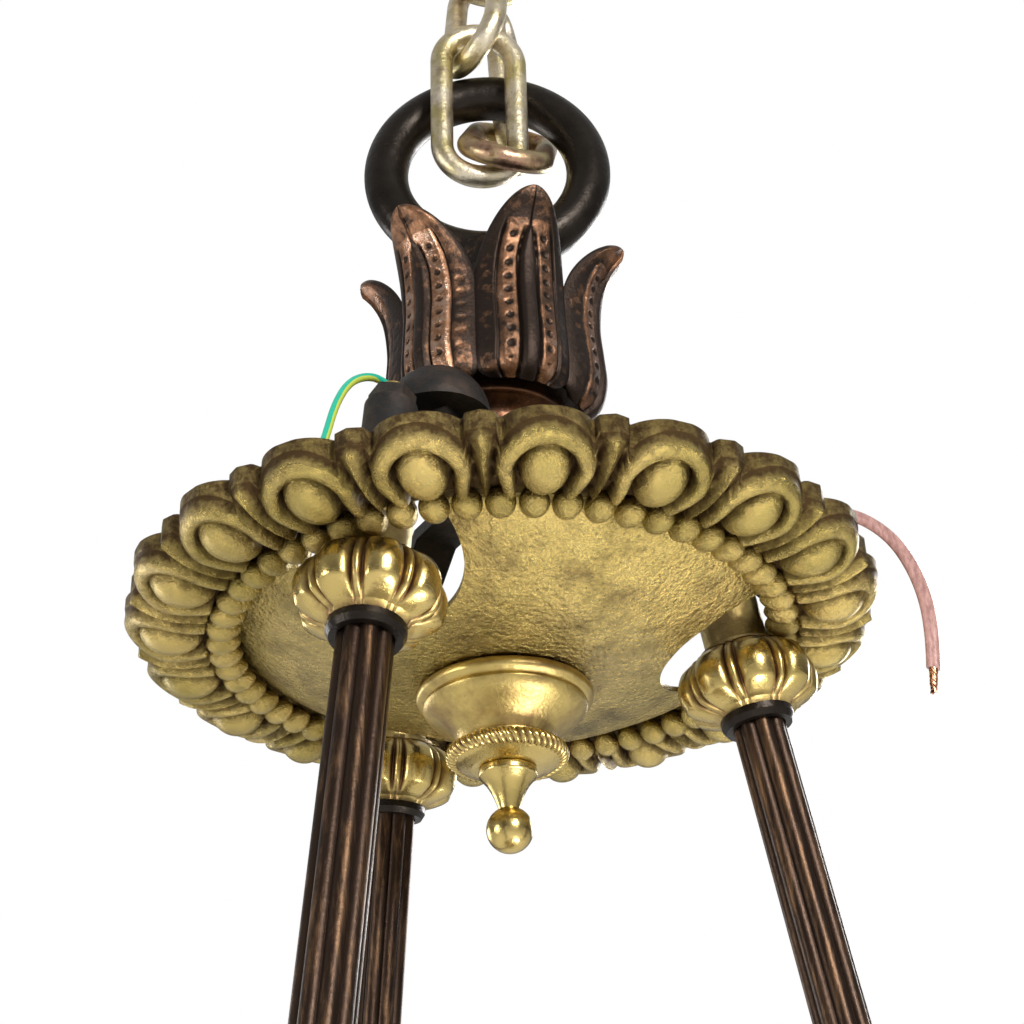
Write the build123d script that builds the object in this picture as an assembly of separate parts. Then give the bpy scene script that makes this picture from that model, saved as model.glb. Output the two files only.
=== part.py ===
"""Three-rod hanging lamp: ceiling fitting, sling chain, ring eye, leaf crown, cast rim and lower bowl ring.

Millimetres, +Z up. The origin is on the ceiling face, on the lamp's axis. Most heights are written from
the plane of the rim's beads, RIM_Z below the ceiling, through the function rim_level.
Azimuths are in degrees from -Y towards +X.
"""
from build123d import *
from math import cos, hypot, pi, radians, sin, tan
import os

os.makedirs("parts", exist_ok=True)

# ---- driving dimensions -------------------------------------------------------------------------
RIM_Z = -420.0          # height of the bead plane below the ceiling
GAP = 0.4               # clearance between pieces that move on each other

PLATE_R = 46.0          # ceiling plate
PLATE_BOLT_PCD = 66.0
PLATE_BOLT_HOLE_R = 3.25
PLATE_BOLTS = 3

SLING_TURN = 20.0       # the hook's plane and the suspension ring are turned by this about the axis
HOOK_WIRE_R = 6.0
HOOK_BEND_R = 16.0
HOOK_LEVEL = 359.6      # centre of the hook's lowest point, above the bead plane
RING_R = 20.0           # suspension ring, centre line
RING_LEVEL = 352.0      # its centre

LINK_WIRE_R = 4.8
LINK_BEND_R = 16.0      # centre line of a link's end
LINK_HALF_STRAIGHT = 22.0

EYE_R = 43.3            # big ring eye, centre line
EYE_BAR_R = 9.4
EYE_LEVEL = 223.0

RIM_R = 136.5           # outer edge of the rim
BEAD_CIRCLE_R = 102.6
BEAD_R = 4.2
DISH_EDGE_R = 98.6
DISH_WALL = 2.0
CUT_OUT_R = 30.0        # round openings in the dish about the arm tubes

ARMS = {"a": -29.0, "b": 91.0, "c": 211.0}
SOCKET_CIRCLE_R = 87.3
SOCKET_LEVEL = -19.0
FLARE = 8.7             # the rods lean outwards by this many degrees
SOCKET_R = 25.4
SOCKET_HALF = 14.0
ROD_R = 9.525           # three-quarter inch reeded tube
REEDS = 8
ROD_LENGTH = 420.0      # from socket centre to lower socket centre
ARM_TUBE_R = 11.6
TIE_R = 5.0             # central tie rod
BORE_R = TIE_R + 0.05   # bore of what is threaded on the tie rod

HUB_TOP = 71.0          # top face of the spider's hub plate
STRAP = 5.0             # thickness and half width of the spider's straps
STRAP_HALF = 9.0
RIM_SCREW_R = 113.0
BOSS_LOW, BOSS_HIGH = 39.0, 79.0   # drilled bosses, measured up the rods' axes from the socket centres

DOME_R = 19.5           # junction dome on the first arm
DOME_OUT = 44.0
DOME_HOLE = Vector(-0.79, -0.40, 0.47).normalized()
DOME_HOLE_R = 3.4

LEAF_COUNT = 6
LEAF_FIRST = 20.0
LEAF_SPINE = [(37, 100.8), (41, 108), (41.2, 118), (40.2, 134), (42.4, 152), (47.5, 165), (55.5, 174.5)]
LEAF_HALF_WIDTHS = [(0.0, 13.0), (0.2, 16.0), (0.45, 18.6), (0.65, 18.0), (0.85, 12.5), (0.96, 6.5), (1.0, 3.0)]

BOWL_FLANGE_R = 133.0
BOWL_DEPTH = 112.0
BOWL_WALL = 4.0

EARTH_R = 1.5
FLEX_R = 2.0


# ---- helpers ------------------------------------------------------------------------------------
def rim_level(z):
    """Height above the bead plane, in the part's own frame."""
    return z + RIM_Z


def polar(azimuth, radius, z):
    a = radians(azimuth)
    return Vector(radius * sin(a), -radius * cos(a), rim_level(z))


def spin(points, axis=Axis.Z):
    """Solid of revolution of a closed outline of (radius, height) pairs."""
    line = Polyline([(r, 0, z) for r, z in points], close=True)
    return revolve(make_face(line), axis=axis)


def at_rim(shape):
    return Pos(0, 0, RIM_Z) * shape


def disc_stack(radius, low, high, bore=0.0):
    """Upright cylinder or tube between two heights."""
    body = Pos(0, 0, (low + high) / 2) * Cylinder(radius, high - low)
    if bore:
        body -= Pos(0, 0, (low + high) / 2) * Cylinder(bore, high - low + 2)
    return body


def save(name, shape):
    solids = shape.solids() if hasattr(shape, "solids") else [shape]
    export_step(solids[0] if len(solids) == 1 else Compound(children=list(solids)), f"parts/{name}.step")


def bar_section(path, radius):
    """Round bar along a path."""
    return sweep(Plane(origin=path @ 0, z_dir=path % 0) * Circle(radius), path=path)


def arm_turn(azimuth):
    """Turns a piece drawn in the plane y = 0, x = radius, to its azimuth."""
    return Rot(0, 0, azimuth - 90)


def rod_plane(azimuth, along=0.0):
    """Frame on a rod's axis: z runs up the rod, x radially outwards."""
    f = radians(FLARE)
    a = radians(azimuth)
    up = Vector(-sin(a) * sin(f), cos(a) * sin(f), cos(f))
    out = Vector(sin(a) * cos(f), -cos(a) * cos(f), sin(f))
    centre = polar(azimuth, SOCKET_CIRCLE_R, SOCKET_LEVEL) + up * along
    return Plane(origin=centre, x_dir=out, z_dir=up)


# ---- ceiling fitting ----------------------------------------------------------------------------
def ceiling_plate():
    plate = spin([(0, 0), (PLATE_R, 0), (PLATE_R, -4), (PLATE_R - 4, -8), (22, -9.5), (18, -16), (13, -20),
                  (0, -20)])
    for k in range(PLATE_BOLTS):
        plate -= Rot(0, 0, 360 / PLATE_BOLTS * k) * Pos(PLATE_BOLT_PCD / 2, 0, -5) * Cylinder(
            PLATE_BOLT_HOLE_R, 20)
    return plate - Pos(0, 0, -14) * Cylinder(HOOK_WIRE_R, 16)


def ceiling_hook():
    """Round bar: a shank on the axis, set over to one side, then a half turn up to an open tip."""
    low = rim_level(HOOK_LEVEL)
    r = HOOK_BEND_R
    path = FilletPolyline([(0, 0, -6.2), (0, 0, low + 34), (-r, 0, low + 22), (-r, 0, low), (r, 0, low),
                           (r, 0, low + 20)], radius=[8, 8, r - 0.1, r - 0.1])
    return Rot(0, 0, SLING_TURN + 90) * bar_section(path, HOOK_WIRE_R)


def hook_locknut():
    nut = extrude(RegularPolygon(11, 6), -5)
    nut = Pos(0, 0, -20) * nut
    return nut - Pos(0, 0, -22) * Cylinder(HOOK_WIRE_R, 20)


def suspension_ring():
    ring = Rot(90, 0, 0) * Torus(RING_R, HOOK_WIRE_R)
    return Pos(0, 0, rim_level(RING_LEVEL)) * Rot(0, 0, SLING_TURN) * ring


# ---- chain --------------------------------------------------------------------------------------
# centre above the bead plane, then turns about Z, Y and X in that order
LINKS = {
    "link_front_upper": ((-2.6, -9.8, 310.4), (-51.2, -9.1, -11.5)),
    "link_front_lower": ((-2.5, -15.8, 248.1), (6.8, 0.1, 4.1)),
    "link_saddle": ((9.6, 2.6, 240.1), (8.2, 13.0, -40.6)),
    "link_rear": ((10.6, 27.3, 296.1), (76.4, -5.2, -0.7)),
}


def chain_link(centre, turns):
    """Oval welded link: two straight sides and two half-round ends."""
    half, bend = LINK_HALF_STRAIGHT, LINK_BEND_R
    straight = Cylinder(LINK_WIRE_R, 2 * half)
    end = revolve(Plane((bend, 0, half)) * Circle(LINK_WIRE_R), Axis((0, 0, half), (0, 1, 0)), -180)
    lower = revolve(Plane((bend, 0, -half)) * Circle(LINK_WIRE_R), Axis((0, 0, -half), (0, 1, 0)), 180)
    link = Pos(bend, 0, 0) * straight + Pos(-bend, 0, 0) * straight + end + lower
    about_z, about_y, about_x = turns
    turned = Rot(0, 0, about_z) * Rot(0, about_y, 0) * Rot(about_x, 0, 0)
    return Pos(centre[0], centre[1], rim_level(centre[2])) * turned * link


# ---- ring eye, crown and hub --------------------------------------------------------------------
def eye_ring():
    """Forged ring whose foot runs down into a threaded shank."""
    ring = Pos(0, 0, rim_level(EYE_LEVEL)) * Rot(90, 0, 0) * Torus(EYE_R, EYE_BAR_R)
    foot = at_rim(spin([(0, 140), (12, 140), (12, 151.9), (17, 151.9), (18.5, 156), (15.5, 164), (15.5, 178),
                        (0, 178)]))
    return ring + foot


def crown_cup():
    """Inner cup that carries the leaves; the ring eye stands in its bore."""
    return at_rim(spin([(12.1, 97.1), (37, 97.1), (37, 100.6), (34, 102), (35, 110), (32, 124), (26, 138),
                        (20, 149), (16, 151.8), (12.1, 151.8)]))


def leaf(azimuth):
    """Plain leaf blade: bulging foot, waist and a tip that curls outwards, at the crown's real size."""
    spine = Spline(*[(r, 0, z) for r, z in LEAF_SPINE])
    sections = []
    for t, half in LEAF_HALF_WIDTHS:
        here = Plane(origin=spine @ t, z_dir=spine % t, x_dir=(0, 1, 0))
        sections.append(here * RectangleRounded(2 * half, 4.4, 2.0))
    return Rot(0, 0, azimuth - 90) * at_rim(loft(sections))


def crown_foot():
    """Turned copper seat under the crown."""
    return at_rim(spin([(BORE_R, 71.1), (22, 71.1), (22, 80), (24, 84.5), (27.5, 88.5), (30, 91), (30, 93.5),
                        (28, 95.5), (28, 97), (BORE_R, 97)]))


def crown_nut():
    nut = Pos(0, 0, 97.1) * extrude(RegularPolygon(10, 6), 8)
    return at_rim(nut - Pos(0, 0, 100) * Cylinder(BORE_R, 20))


def tie_rod():
    return at_rim(disc_stack(TIE_R, -54, 110))


def spider():
    """Iron hub plate with three straps that run flat, then slope over the arm tubes to the rim."""
    hub = disc_stack(30, HUB_TOP - STRAP, HUB_TOP)
    strap = Polyline((20, HUB_TOP), (52, HUB_TOP), (106, 17.5), (121, 17.5), (121, 12.5), (104, 12.5),
                     (50, HUB_TOP - STRAP), (20, HUB_TOP - STRAP), close=True)
    strap = extrude(Plane.XZ * make_face(strap), STRAP_HALF, both=True)
    strap -= Pos(RIM_SCREW_R, 0, 15) * Cylinder(2.1, 12)
    for azimuth in ARMS.values():
        hub += arm_turn(azimuth) * strap
        hub += Pos(0, 0, -RIM_Z) * (rod_plane(azimuth) * disc_stack(9.5, BOSS_LOW, BOSS_HIGH))
    for azimuth in ARMS.values():
        hub -= Pos(0, 0, -RIM_Z) * (rod_plane(azimuth) * disc_stack(5.2, BOSS_LOW - 9, BOSS_HIGH + 9))
    return at_rim(hub - Cylinder(BORE_R, 400))


def junction_dome():
    """Dark half-dome junction cover on the first arm, with a side hole for the earth wire."""
    dome = Sphere(DOME_R) & Pos(0, 0, DOME_R / 2) * Box(60, 60, DOME_R)
    dome -= Sphere(DOME_R - 2.5)
    side_hole = Plane(origin=DOME_HOLE * DOME_R, z_dir=DOME_HOLE) * Cylinder(DOME_HOLE_R, 12)
    return Pos(*polar(ARMS["a"], DOME_OUT, HUB_TOP + 2)) * (dome - side_hole)


def dome_plate():
    """Round plate under the junction dome."""
    return Pos(*polar(ARMS["a"], DOME_OUT, HUB_TOP + 1)) * Cylinder(DOME_R + 0.7, 1.8)


def stem_sleeve():
    return at_rim(disc_stack(9, -17.9, HUB_TOP - STRAP - 0.1, BORE_R))


# ---- dish, rim, collar and finial ---------------------------------------------------------------
def dish():
    """Spun dish, convex downwards, with a round cut-out about each arm tube."""
    outer = [(BORE_R, -20), (30, -20), (45, -18.6), (60, -15.4), (74, -10.6), (87, -4), (DISH_EDGE_R, 3.4)]
    inner = [(r, z + DISH_WALL) for r, z in reversed(outer)]
    shell = spin(outer + inner)
    for azimuth in ARMS.values():
        shell -= arm_turn(azimuth) * Pos(SOCKET_CIRCLE_R - 1, 0, 0) * Cylinder(CUT_OUT_R, 60)
    return at_rim(shell)


def rim_band():
    """Cast rim: bead seat, sloping ornamented face, outer edge and flat back."""
    band = spin([(DISH_EDGE_R + 0.1, 3.4), (107, 2.6), (110, -1.0), (123, -3.4), (133, 1.5), (RIM_R, 6),
                 (RIM_R, 11), (RIM_R - 2, 12.4), (104, 12.4), (DISH_EDGE_R + 0.1, 9)])
    for azimuth in ARMS.values():
        band -= arm_turn(azimuth) * Pos(RIM_SCREW_R, 0, 12) * Cylinder(2.1, 14)
    return at_rim(band)


def bead_ring():
    """Moulding of round beads, plain here as one half-round ring."""
    profile = Pos(BEAD_CIRCLE_R, 0, 0) * Rot(90, 0, 0) * Circle(BEAD_R)
    ring = revolve(profile, axis=Axis.Z)
    return at_rim(ring & disc_stack(BEAD_CIRCLE_R + 8, -6, 2.5))


def rim_screws():
    """Three pan-head screws that hold the spider's feet to the rim."""
    screw = disc_stack(2.0, 5, 17.5) + spin([(0, 17.5), (4.2, 17.5), (4.2, 19.2), (2.5, 20.6), (0, 21)])
    return at_rim(Compound(children=[arm_turn(a) * Pos(RIM_SCREW_R, 0, 0) * screw for a in ARMS.values()]))


def collar_cup():
    """Turned cup under the dish: stepped lip and a long ogee to its neck."""
    return at_rim(spin([(BORE_R, -20.1), (27.5, -20.1), (31.8, -22), (31.8, -25.2), (29.4, -26.4),
                        (29.2, -28.2), (26.5, -30.8), (22, -34.2), (18.4, -37.6), (16.8, -40.4),
                        (17.6, -42.4), (BORE_R, -42.4)]))


def rope_ring():
    return at_rim(spin([(BORE_R, -42.5), (19.6, -42.5), (21.8, -44.6), (21.8, -46.6), (19.8, -48.8),
                        (12.5, -50.4), (BORE_R, -50.4)]))


def finial():
    """Turned finial: short drum, hollow cone, thin neck and ball."""
    neck = [(10.2, -50.5), (10.2, -53.4), (8.6, -55.2), (6.4, -58.2), (4.6, -61.8), (3.5, -65.4)]
    ball_r, ball_z = 8.2, -72.8
    ball = [(ball_r * sin(radians(t)), ball_z + ball_r * cos(radians(t))) for t in range(26, 180, 14)]
    outline = [(0, -50.5)] + neck + ball + [(0, ball_z - ball_r)]
    return at_rim(spin(outline) - disc_stack(BORE_R, -54.2, -40))


# ---- arm tubes, sockets and rods ----------------------------------------------------------------
def arm_tube(azimuth):
    tube = disc_stack(ARM_TUBE_R, 8.1, BOSS_LOW - 0.1) - disc_stack(7.5, 0, BOSS_LOW - 8)
    tube += disc_stack(5.0, BOSS_LOW - 0.2, BOSS_HIGH + 9)
    return rod_plane(azimuth) * tube


def arm_nuts():
    nut = Pos(0, 0, BOSS_HIGH + 0.1) * extrude(RegularPolygon(8.5, 6), 6)
    nut -= Pos(0, 0, BOSS_HIGH) * Cylinder(5.05, 30)
    return Compound(children=[rod_plane(azimuth) * nut for azimuth in ARMS.values()])


def socket_profile():
    h, r = SOCKET_HALF, SOCKET_R
    return [(13.5, -h), (19, -h + 1.5), (23.6, -h + 6), (r, -1), (24, h - 8), (20, h - 4), (14.5, h - 2)]


def socket(azimuth):
    """Melon boss: the rod stands in it from below and the arm tube from above."""
    boss = spin([(ROD_R + 0.05, -SOCKET_HALF)] + socket_profile() + [(ARM_TUBE_R + 0.05, SOCKET_HALF - 2),
                 (ARM_TUBE_R + 0.05, 8), (ROD_R + 0.05, 8)])
    return rod_plane(azimuth) * boss


def ferrules():
    """Dark ferrules between the sockets and the rods."""
    h = SOCKET_HALF
    ring = spin([(ROD_R + 0.05, -h - 0.1), (13.2, -h - 0.1), (13.2, -h - 2.4), (12, -h - 4.6),
                 (ROD_R + 0.05, -h - 4.6)])
    return Compound(children=[rod_plane(azimuth) * ring for azimuth in ARMS.values()])


def rod(azimuth):
    """Reeded brass tube: a core with half-round reeds, bored for the wires."""
    core = Circle(7.9)
    for k in range(REEDS):
        a = 2 * pi * k / REEDS
        core += Pos(6.35 * cos(a), 6.35 * sin(a)) * Circle(ROD_R - 6.35)
    tube = extrude(core - Circle(5.2), ROD_LENGTH + 16)
    return rod_plane(azimuth) * Pos(0, 0, -ROD_LENGTH - 8) * tube


# ---- lower ring, bowl and light -----------------------------------------------------------------
LOWER = -ROD_LENGTH
LOWER_R = SOCKET_CIRCLE_R + ROD_LENGTH * sin(radians(FLARE))
LOWER_LEVEL = SOCKET_LEVEL - ROD_LENGTH * cos(radians(FLARE))
DECK = LOWER_LEVEL - 18.0      # top face of the lower ring
BRIDGE_FEET = (31.0, 151.0, 271.0)
BRIDGE_TOP = 38.0
BRIDGE_SCREW_R = 146.0


def lower_socket(azimuth):
    boss = spin([(ROD_R + 0.05, -SOCKET_HALF + 6)] + [(TIE_R + 0.05, -SOCKET_HALF + 6),
                 (TIE_R + 0.05, -SOCKET_HALF)] + socket_profile() + [(ROD_R + 0.05, SOCKET_HALF - 2)])
    return rod_plane(azimuth, LOWER) * boss


def lower_seats():
    """Three turned seats, square to the ring below and to the leaning socket above."""
    seats = []
    for azimuth in ARMS.values():
        post = rod_plane(azimuth, LOWER) * disc_stack(16, -SOCKET_HALF - 12, -SOCKET_HALF - 0.1)
        post &= arm_turn(azimuth) * Pos(LOWER_R, 0, rim_level(DECK) + 20) * Box(80, 80, 39.8)
        seats.append(post - rod_plane(azimuth, LOWER) * disc_stack(TIE_R + 0.05, -60, 0))
    return Compound(children=seats)


def lower_ring():
    """Bowl ring: flat deck, inner ledge for the bowl and an ornamented outer face."""
    d = DECK
    ring = spin([(128, d - 4), (134, d - 4), (134, d), (168, d), (172, d - 1.4), (172, d - 6),
                 (168, d - 11), (158, d - 15.8), (145, d - 14.6), (139, d - 10), (128, d - 9)])
    for azimuth in ARMS.values():
        ring -= Pos(0, 0, -RIM_Z) * (rod_plane(azimuth, LOWER) * disc_stack(TIE_R + 0.05, -70, 0))
    for azimuth in BRIDGE_FEET:
        ring -= arm_turn(azimuth) * Pos(BRIDGE_SCREW_R, 0, d) * Cylinder(2.1, 12)
    return at_rim(ring)


def lower_beads():
    profile = Pos(134.5, 0, DECK - 13.6) * Rot(90, 0, 0) * Circle(BEAD_R)
    ring = revolve(profile, axis=Axis.Z)
    return at_rim(ring & disc_stack(142, DECK - 22, DECK - 10.2))


def lower_studs():
    """Three threaded studs with acorn nuts under the lower ring."""
    studs = []
    for azimuth in ARMS.values():
        stud = disc_stack(TIE_R, -SOCKET_HALF - 26, -SOCKET_HALF + 5.8)
        nut_top = -SOCKET_HALF - 24.5
        nut = spin([(0, nut_top), (8, nut_top), (8.5, nut_top - 5), (6.5, nut_top - 10), (3, nut_top - 13.4),
                    (0, nut_top - 14)])
        studs.append(rod_plane(azimuth, LOWER) * (stud + nut))
    return Compound(children=studs)


def glass_bowl():
    """Blown bowl with a flat flange that rests on the ring's ledge."""
    top, wall = DECK - 3.9, BOWL_WALL
    rim_r, depth = 125.0, BOWL_DEPTH
    outer = [(rim_r * sin(radians(t)), top - depth * cos(radians(t))) for t in range(0, 91, 10)]
    inner = [((rim_r - wall) * sin(radians(t)), top - (depth - wall) * cos(radians(t)))
             for t in range(90, -1, -10)]
    outline = outer[:-1] + [(rim_r, top), (BOWL_FLANGE_R, top), (BOWL_FLANGE_R, top + wall),
                            (rim_r - wall, top + wall)] + inner
    return at_rim(spin(outline))


def lamp_bridge():
    """Three-legged strap bridge that stands on the ring and carries the lampholders."""
    d, h = DECK, BRIDGE_TOP
    leg = Polyline((0, d + h), (120, d + h), (138.5, d + 12), (138.5, d + 0.1), (150, d + 0.1),
                   (150, d + 2.6), (141, d + 2.6), (141, d + 12.6), (121.2, d + h + 2.5), (0, d + h + 2.5),
                   close=True)
    leg = extrude(Plane.XZ * make_face(leg), 7, both=True)
    body = disc_stack(30, d + h, d + h + 2.5)
    for azimuth in BRIDGE_FEET:
        body += arm_turn(azimuth) * leg
    for azimuth in BRIDGE_FEET:
        body -= arm_turn(azimuth) * Pos(HOLDER_R, 0, d + h) * Cylinder(5.0, 20)
        body -= arm_turn(azimuth) * Pos(BRIDGE_SCREW_R, 0, d) * Cylinder(2.1, 20)
    return at_rim(body)


HOLDER_R = 52.0
HOLDER_LONG = 40.0


def per_foot(shape):
    return at_rim(Compound(children=[arm_turn(a) * Pos(HOLDER_R, 0, 0) * shape for a in BRIDGE_FEET]))


def lampholders():
    """Three brass lampholders hung by their nipples from the bridge."""
    top = DECK + BRIDGE_TOP - 0.1
    shell = spin([(0, top), (9, top), (14, top - 8), (14.6, top - 12), (14.6, top - HOLDER_LONG),
                  (13.2, top - HOLDER_LONG), (13.2, top - 14), (0, top - 14)])
    return per_foot(shell + disc_stack(4.9, top - 0.2, top + 9))


def bulb(azimuth):
    """Small glass bulb with its cap in a holder."""
    top = DECK + BRIDGE_TOP - 0.1
    cap = top - 15
    pear = [(0, cap), (12.8, cap), (12.8, cap - 26), (14.5, cap - 31), (19, cap - 41), (22.5, cap - 50),
            (22.5, cap - 58), (18.5, cap - 68), (11, cap - 74), (0, cap - 76)]
    return at_rim(arm_turn(azimuth) * Pos(HOLDER_R, 0, 0) * spin(pear))


def bridge_screws():
    screw = disc_stack(2.0, DECK - 5, DECK + 2.6) + spin(
        [(0, DECK + 2.6), (3.8, DECK + 2.6), (3.8, DECK + 4), (2, DECK + 5), (0, DECK + 5.2)])
    return at_rim(Compound(children=[arm_turn(a) * Pos(BRIDGE_SCREW_R, 0, 0) * screw for a in BRIDGE_FEET]))


# ---- wires --------------------------------------------------------------------------------------
# routes as (azimuth, radius, height above the bead plane)
FLEX_ROUTE = [(60, 70, 1), (62, 88, 11), (65, 110, 21), (68, 130, 22), (70, 143.5, 11.5), (70.5, 150.5, -6),
              (70, 152.5, -26), (69.5, 150.5, -42)]
EARTH_ROUTE = [(-38.5, 56.5, 80.3), (-39.5, 64.5, 83.2), (-39.5, 73.5, 80), (-39, 82.5, 72), (-38.5, 89.5, 59),
               (-37.8, 94.5, 44), (-37, 100, 30), (-35.8, 109, 19.5)]


def cord_tube(name, route, radius):
    """Straight runs joined by the largest tangent arcs that fit; prints the radii and the length."""
    points = [polar(*p) for p in route]
    radii = []
    for before, here, after in zip(points, points[1:], points[2:]):
        turn = radians((here - before).get_angle(after - here))
        run = min((here - before).length, (after - here).length)
        radii.append(0.45 * run / tan(turn / 2))
    path = FilletPolyline(*points, radius=radii)
    tube = bar_section(path, radius)
    runs = [round((b - a).length, 1) for a, b in zip(points, points[1:])]
    print(name, "radii", [round(r, 1) for r in radii], "runs", runs, "length", round(path.length, 1),
          "volume ratio", round(tube.volume / (pi * radius ** 2 * path.length), 4))
    return tube, path


def flex_strands(path):
    """Twisted bare copper beyond the sheath, plain here as one tapering plug."""
    end = Plane(origin=path @ 1, z_dir=path % 1)
    return end * (Pos(0, 0, 0.05) * Cone(1.9, 1.3, 9, align=(Align.CENTER, Align.CENTER, Align.MIN)))


def terminal_block(path):
    """Connector block on the dish's floor where the supply flex begins."""
    start = Plane(origin=path @ 0, z_dir=-(path % 0))
    return start * (Pos(0, 0, 7.05) * Box(11, 20, 14))


def earth_lug(path):
    """Flat copper lug that clamps the earth wire's end to the spider's foot."""
    end = Plane(origin=path @ 1, z_dir=path % 1)
    return end * (Pos(0, 0, 3.55) * Box(4.6, 4.6, 7))


def main():
    pieces = {
        "ceiling_plate": ceiling_plate(), "ceiling_hook": ceiling_hook(), "hook_locknut": hook_locknut(),
        "suspension_ring": suspension_ring(), "eye_ring": eye_ring(), "crown_cup": crown_cup(),
        "crown_foot": crown_foot(), "crown_nut": crown_nut(), "tie_rod": tie_rod(), "spider": spider(),
        "junction_dome": junction_dome(), "dome_plate": dome_plate(), "stem_sleeve": stem_sleeve(),
        "dish": dish(), "rim_band": rim_band(), "bead_ring": bead_ring(), "rim_screws": rim_screws(),
        "collar_cup": collar_cup(), "rope_ring": rope_ring(), "finial": finial(),
        "lower_seats": lower_seats(), "lower_ring": lower_ring(), "lower_beads": lower_beads(),
        "lower_studs": lower_studs(), "glass_bowl": glass_bowl(), "lamp_bridge": lamp_bridge(),
        "lampholders": lampholders(), "bridge_screws": bridge_screws(), "arm_nuts": arm_nuts(),
        "ferrules": ferrules(),
    }
    for name, (centre, turns) in LINKS.items():
        pieces[name] = chain_link(centre, turns)
    for letter, azimuth in zip(ARMS, BRIDGE_FEET):
        pieces[f"bulb_{letter}"] = bulb(azimuth)
    for k in range(LEAF_COUNT):
        pieces[f"leaf_{k + 1}"] = leaf(LEAF_FIRST + 360 / LEAF_COUNT * k)
    for letter, azimuth in ARMS.items():
        pieces[f"arm_tube_{letter}"] = arm_tube(azimuth)
        pieces[f"socket_{letter}"] = socket(azimuth)
        pieces[f"rod_{letter}"] = rod(azimuth)
        pieces[f"lower_socket_{letter}"] = lower_socket(azimuth)
    flex, flex_path = cord_tube("supply_flex", FLEX_ROUTE, FLEX_R)
    earth, earth_path = cord_tube("earth_wire", EARTH_ROUTE, EARTH_R)
    pieces.update(supply_flex=flex, earth_wire=earth, flex_strands=flex_strands(flex_path))
    pieces.update(terminal_block=terminal_block(flex_path), earth_lug=earth_lug(earth_path))
    for name, shape in pieces.items():
        save(name, shape)


main()
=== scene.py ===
"""Visual model of a three-rod hanging lamp, laid out as a Blender add-on and run as a script.

Numbers are millimetres from the rim's bead plane unless a comment says otherwise, and become metres in the
part's frame through place(). Azimuths are degrees from -Y towards +X.
"""
from math import cos, pi, radians, sin

import bpy
import numpy as np
from mathutils import Matrix, Vector


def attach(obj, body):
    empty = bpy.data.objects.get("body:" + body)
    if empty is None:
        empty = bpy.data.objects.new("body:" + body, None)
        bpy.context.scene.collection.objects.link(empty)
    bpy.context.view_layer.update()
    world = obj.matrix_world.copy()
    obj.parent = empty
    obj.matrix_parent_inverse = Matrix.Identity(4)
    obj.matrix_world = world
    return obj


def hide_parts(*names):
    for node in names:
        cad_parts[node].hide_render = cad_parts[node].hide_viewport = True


bl_info = {
    "name": "Hanging lamp",
    "version": (1, 0, 0),
    "blender": (4, 5, 0),
    "location": "View3D > Sidebar > Lamp",
    "description": "Builds the ornament, finishes, wires and stage of a three-rod hanging lamp",
    "category": "Add Mesh",
}

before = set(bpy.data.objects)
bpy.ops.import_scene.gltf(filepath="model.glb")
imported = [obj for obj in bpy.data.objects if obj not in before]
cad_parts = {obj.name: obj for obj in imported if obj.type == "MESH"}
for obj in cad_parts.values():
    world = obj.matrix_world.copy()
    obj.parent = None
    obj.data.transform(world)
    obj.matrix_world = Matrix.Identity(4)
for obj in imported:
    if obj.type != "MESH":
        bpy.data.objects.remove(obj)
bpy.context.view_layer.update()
MM = 0.001
RIM_Z = -420.0
ARMS = {"a": -29.0, "b": 91.0, "c": 211.0}  # azimuths of the three rods
FLARE = 8.7  # lean of the rods, in degrees
SOCKET_CIRCLE_R, SOCKET_LEVEL = 87.3, -19.0
ROD_LENGTH, ROD_R, REEDS = 420.0, 9.525, 8
LOWER_LEVEL = SOCKET_LEVEL - ROD_LENGTH * cos(radians(FLARE))
DECK = LOWER_LEVEL - 18.0
BULBS = {"a": 31.0, "b": 151.0, "c": 271.0}  # azimuths of the three bulbs
BULB_CIRCLE_R = 52.0
BORE_R = 5.05  # clearance hole round bolts and the tie rod
POLE_R = 0.02  # tiny radius where an outline starts or ends at the axis

# routes of the wires as (azimuth, radius, height), the same as the CAD tubes'
FLEX_ROUTE = [(60, 70, 1), (62, 88, 11), (65, 110, 21), (68, 130, 22), (70, 143.5, 11.5), (70.5, 150.5, -6),
              (70, 152.5, -26), (69.5, 150.5, -42)]
EARTH_ROUTE = [(-38.5, 56.5, 80.3), (-39.5, 64.5, 83.2), (-39.5, 73.5, 80), (-39, 82.5, 72),
               (-38.5, 89.5, 59), (-37.8, 94.5, 44), (-37, 100, 30), (-35.8, 109, 19.5)]


# ---- mesh helpers ----
def full_turn(count):
    """Angles that part a full turn evenly."""
    return np.linspace(0, 2 * pi, count, endpoint=False)


def place(points):
    """Bead-plane millimetres to part-frame metres: add the rim's height, then scale by a thousandth."""
    return (np.asarray(points, float) + [0, 0, RIM_Z]) * MM


def turned(points, azimuth):
    """Turns points drawn with x radial and y sideways about Z, so that x points along the azimuth."""
    a = radians(azimuth - 90)
    m = np.array([[cos(a), -sin(a), 0], [sin(a), cos(a), 0], [0, 0, 1]])
    return np.asarray(points) @ m.T


def on_rod(points, azimuth, along=0.0):
    """Puts points drawn about Z onto a rod's axis: z runs up the rod, x points outwards."""
    f = radians(FLARE)
    m = np.array([[cos(f), 0, -sin(f)], [0, 1, 0], [sin(f), 0, cos(f)]])
    local = (np.asarray(points) + [0, 0, along]) @ m.T + [SOCKET_CIRCLE_R, 0, SOCKET_LEVEL]
    return turned(local, azimuth)


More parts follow.
